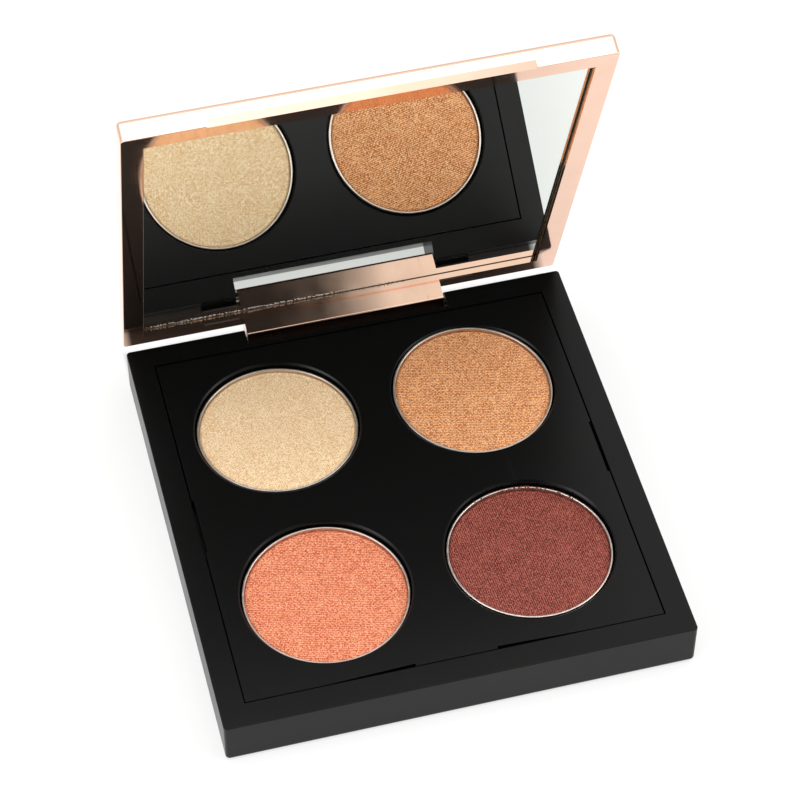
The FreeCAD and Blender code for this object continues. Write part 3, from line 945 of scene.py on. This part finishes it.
floor_white, tree, shader, where = start_material(
    "floor white", {"IOR": 1.4, "Emission Strength": GLOW}
)
speck = noise_at(tree, where, SPECKS_PER_METRE, 3.0)
rough = spread(tree, speck, *NOISE_SPAN, *FLOOR_ROUGHNESS)
tree.links.new(rough, shader.inputs["Roughness"])
# The strip behind the tray is a painted shadow: near-black colour and no glow.
axes = add_node(tree, "SeparateXYZ", {0: where})
off_centre = maths(tree, "ABSOLUTE", axes.outputs[0])
beside = spread(tree, off_centre, SHADOW_HALF - END_FADE, SHADOW_HALF)
before = maths(tree, "LESS_THAN", axes.outputs[1], SHADOW_NEAR)
behind = spread(tree, axes.outputs[1], SHADOW_FAR, SHADOW_FAR + REAR_FADE)
open_floor = maths(tree, "MAXIMUM", maths(tree, "MAXIMUM", beside, before), behind)
glow = blend(tree, open_floor, (0, 0, 0), (1, 1, 1))
tone = blend(tree, open_floor, PAINTED_SHADOW_TONE, blend(tree, speck, FLOOR_DULL, FLOOR_PALE))
tree.links.new(glow, shader.inputs["Emission Color"])
tree.links.new(tone, shader.inputs["Base Color"])

bm = bmesh.new()
bmesh.ops.create_grid(bm, x_segments=8, y_segments=8, size=FLOOR_REACH)
floor_mesh = bpy.data.meshes.new("floor")
bm.to_mesh(floor_mesh)
bm.free()
floor_mesh.materials.append(floor_white)
floor = bpy.data.objects.new("floor", floor_mesh)
bpy.context.scene.collection.objects.link(floor)

# %% [markdown]
# Two softboxes stand to the left and right of the palette. Being alike, they leave hardly any
# shadow on the floor.

# %% Light
BOX_WIDTH = 0.60
BOX_DEPTH = 0.50
BOX_RADIANCE = 4.5


def softbox(name, place):
    """A rectangle of light, turned to face the palette."""
    lamp = bpy.data.lights.new(name, "AREA")
    lamp.shape = "RECTANGLE"
    lamp.size = BOX_WIDTH
    lamp.size_y = BOX_DEPTH
    lamp.energy = BOX_RADIANCE * math.pi * BOX_WIDTH * BOX_DEPTH
    box = bpy.data.objects.new(name, lamp)
    box.location = place
    box.rotation_euler = (-Vector(place)).to_track_quat("-Z", "Y").to_euler()
    bpy.context.scene.collection.objects.link(box)


softbox("left softbox", (-0.80, -0.20, 0.62))
softbox("right softbox", (0.85, -0.20, 0.62))

# %% [markdown]
# The world is a tent. Its walls are dark up to 20 degrees and reach full strength at 44, its top
# panel is brightest, and a softer fill lights everything from behind. At the front, up to about 60
# degrees, is a gap for the camera. Polished metal shows the gap and the low front as dark patches,
# and without dark patches plated metal doesn't look like metal. A height in the tent is the sine of
# an angle, and the gap's sides are parts of a direction: to the right, to the rear, or up. Only the
# camera sees the pale backdrop. The standard view transform keeps whites white, as in catalogue
# pictures.

# %% World: a pale tent with a dark gap
TENT_WHITE = (1.0, 1.0, 0.99, 1)
TENT_STARTS = math.sin(math.radians(20))
TENT_FULL = math.sin(math.radians(44))
TENT_RADIANCE = 1.15
TENT_LOW_RADIANCE = 0.02
FILL_STARTS = -0.05
FILL_FULL = 0.35
FILL_RADIANCE = 0.85
TOP_STARTS = math.sin(math.radians(64))
TOP_FULL = math.sin(math.radians(74))
TOP_RADIANCE = 2.7
GAP_LEFT = (-0.45, -0.40)
GAP_RIGHT = (0.145, 0.165)
GAP_TOP = (0.86, 0.92)
GAP_REAR = (-0.25, -0.15)
GAP_SHARE = 0.02
BACKDROP = 0.97

world = bpy.data.worlds.new("studio tent")
world.use_nodes = True
tree = world.node_tree
background = tree.nodes["Background"]
background.inputs["Color"].default_value = TENT_WHITE
direction = add_node(tree, "TexCoord").outputs["Generated"]
right, rear, up = add_node(tree, "SeparateXYZ", {0: direction}).outputs
walls = spread(tree, up, TENT_STARTS, TENT_FULL, TENT_LOW_RADIANCE, TENT_RADIANCE)
fill = spread(tree, rear, FILL_STARTS, FILL_FULL, 0.0, FILL_RADIANCE)
top = spread(tree, up, TOP_STARTS, TOP_FULL, 0.0, TOP_RADIANCE)
tent = maths(tree, "MAXIMUM", maths(tree, "MAXIMUM", walls, fill), top)
left_of_gap = spread(tree, right, *GAP_LEFT, 1.0, 0.0)
right_of_gap = spread(tree, right, *GAP_RIGHT)
above_gap = spread(tree, up, *GAP_TOP)
behind_gap = spread(tree, rear, *GAP_REAR)
beside_gap = maths(tree, "MAXIMUM", left_of_gap, right_of_gap)
around_gap = maths(tree, "MAXIMUM", maths(tree, "MAXIMUM", above_gap, behind_gap), beside_gap)
tent = maths(tree, "MULTIPLY", tent, spread(tree, around_gap, 0.0, 1.0, GAP_SHARE, 1.0))
seen = add_node(tree, "LightPath").outputs["Is Camera Ray"]
tree.links.new(between(tree, seen, tent, BACKDROP), background.inputs["Strength"])
bpy.context.scene.world = world
bpy.context.scene.view_settings.view_transform = "Standard"

# %% [markdown]
# The camera looks down over the front edge with a long lens, from a little to the left. It is
# placed by angles about the point it aims at, and rolled by a fraction of a degree.

# %% Camera
AIM_RIGHT = 4.2 * MM
AIM_BACK = 17.34 * MM
AZIMUTH = math.radians(-14.54)
ELEVATION = math.radians(50.51)
ROLL = math.radians(0.16)
DISTANCE = 0.4805
LENS = 131.5
SENSOR = 36.0
NEAREST = 0.01

aim = Vector((AIM_RIGHT, AIM_BACK, tray_high.z))
back = Vector(
    (
        math.sin(AZIMUTH) * math.cos(ELEVATION),
        -math.cos(AZIMUTH) * math.cos(ELEVATION),
        math.sin(ELEVATION),
    )
)
lens = bpy.data.cameras.new("camera")
lens.lens = LENS
lens.sensor_width = SENSOR
lens.clip_start = NEAREST
camera = bpy.data.objects.new("camera", lens)
level = Matrix.Rotation(AZIMUTH, 4, "Z") @ Matrix.Rotation(math.pi / 2 - ELEVATION, 4, "X")
camera.matrix_world = Matrix.Translation(aim + back * DISTANCE) @ level @ Matrix.Rotation(ROLL, 4, "Z")
bpy.context.scene.collection.objects.link(camera)
bpy.context.scene.camera = camera
print("camera at", [round(v, 4) for v in camera.matrix_world.translation])
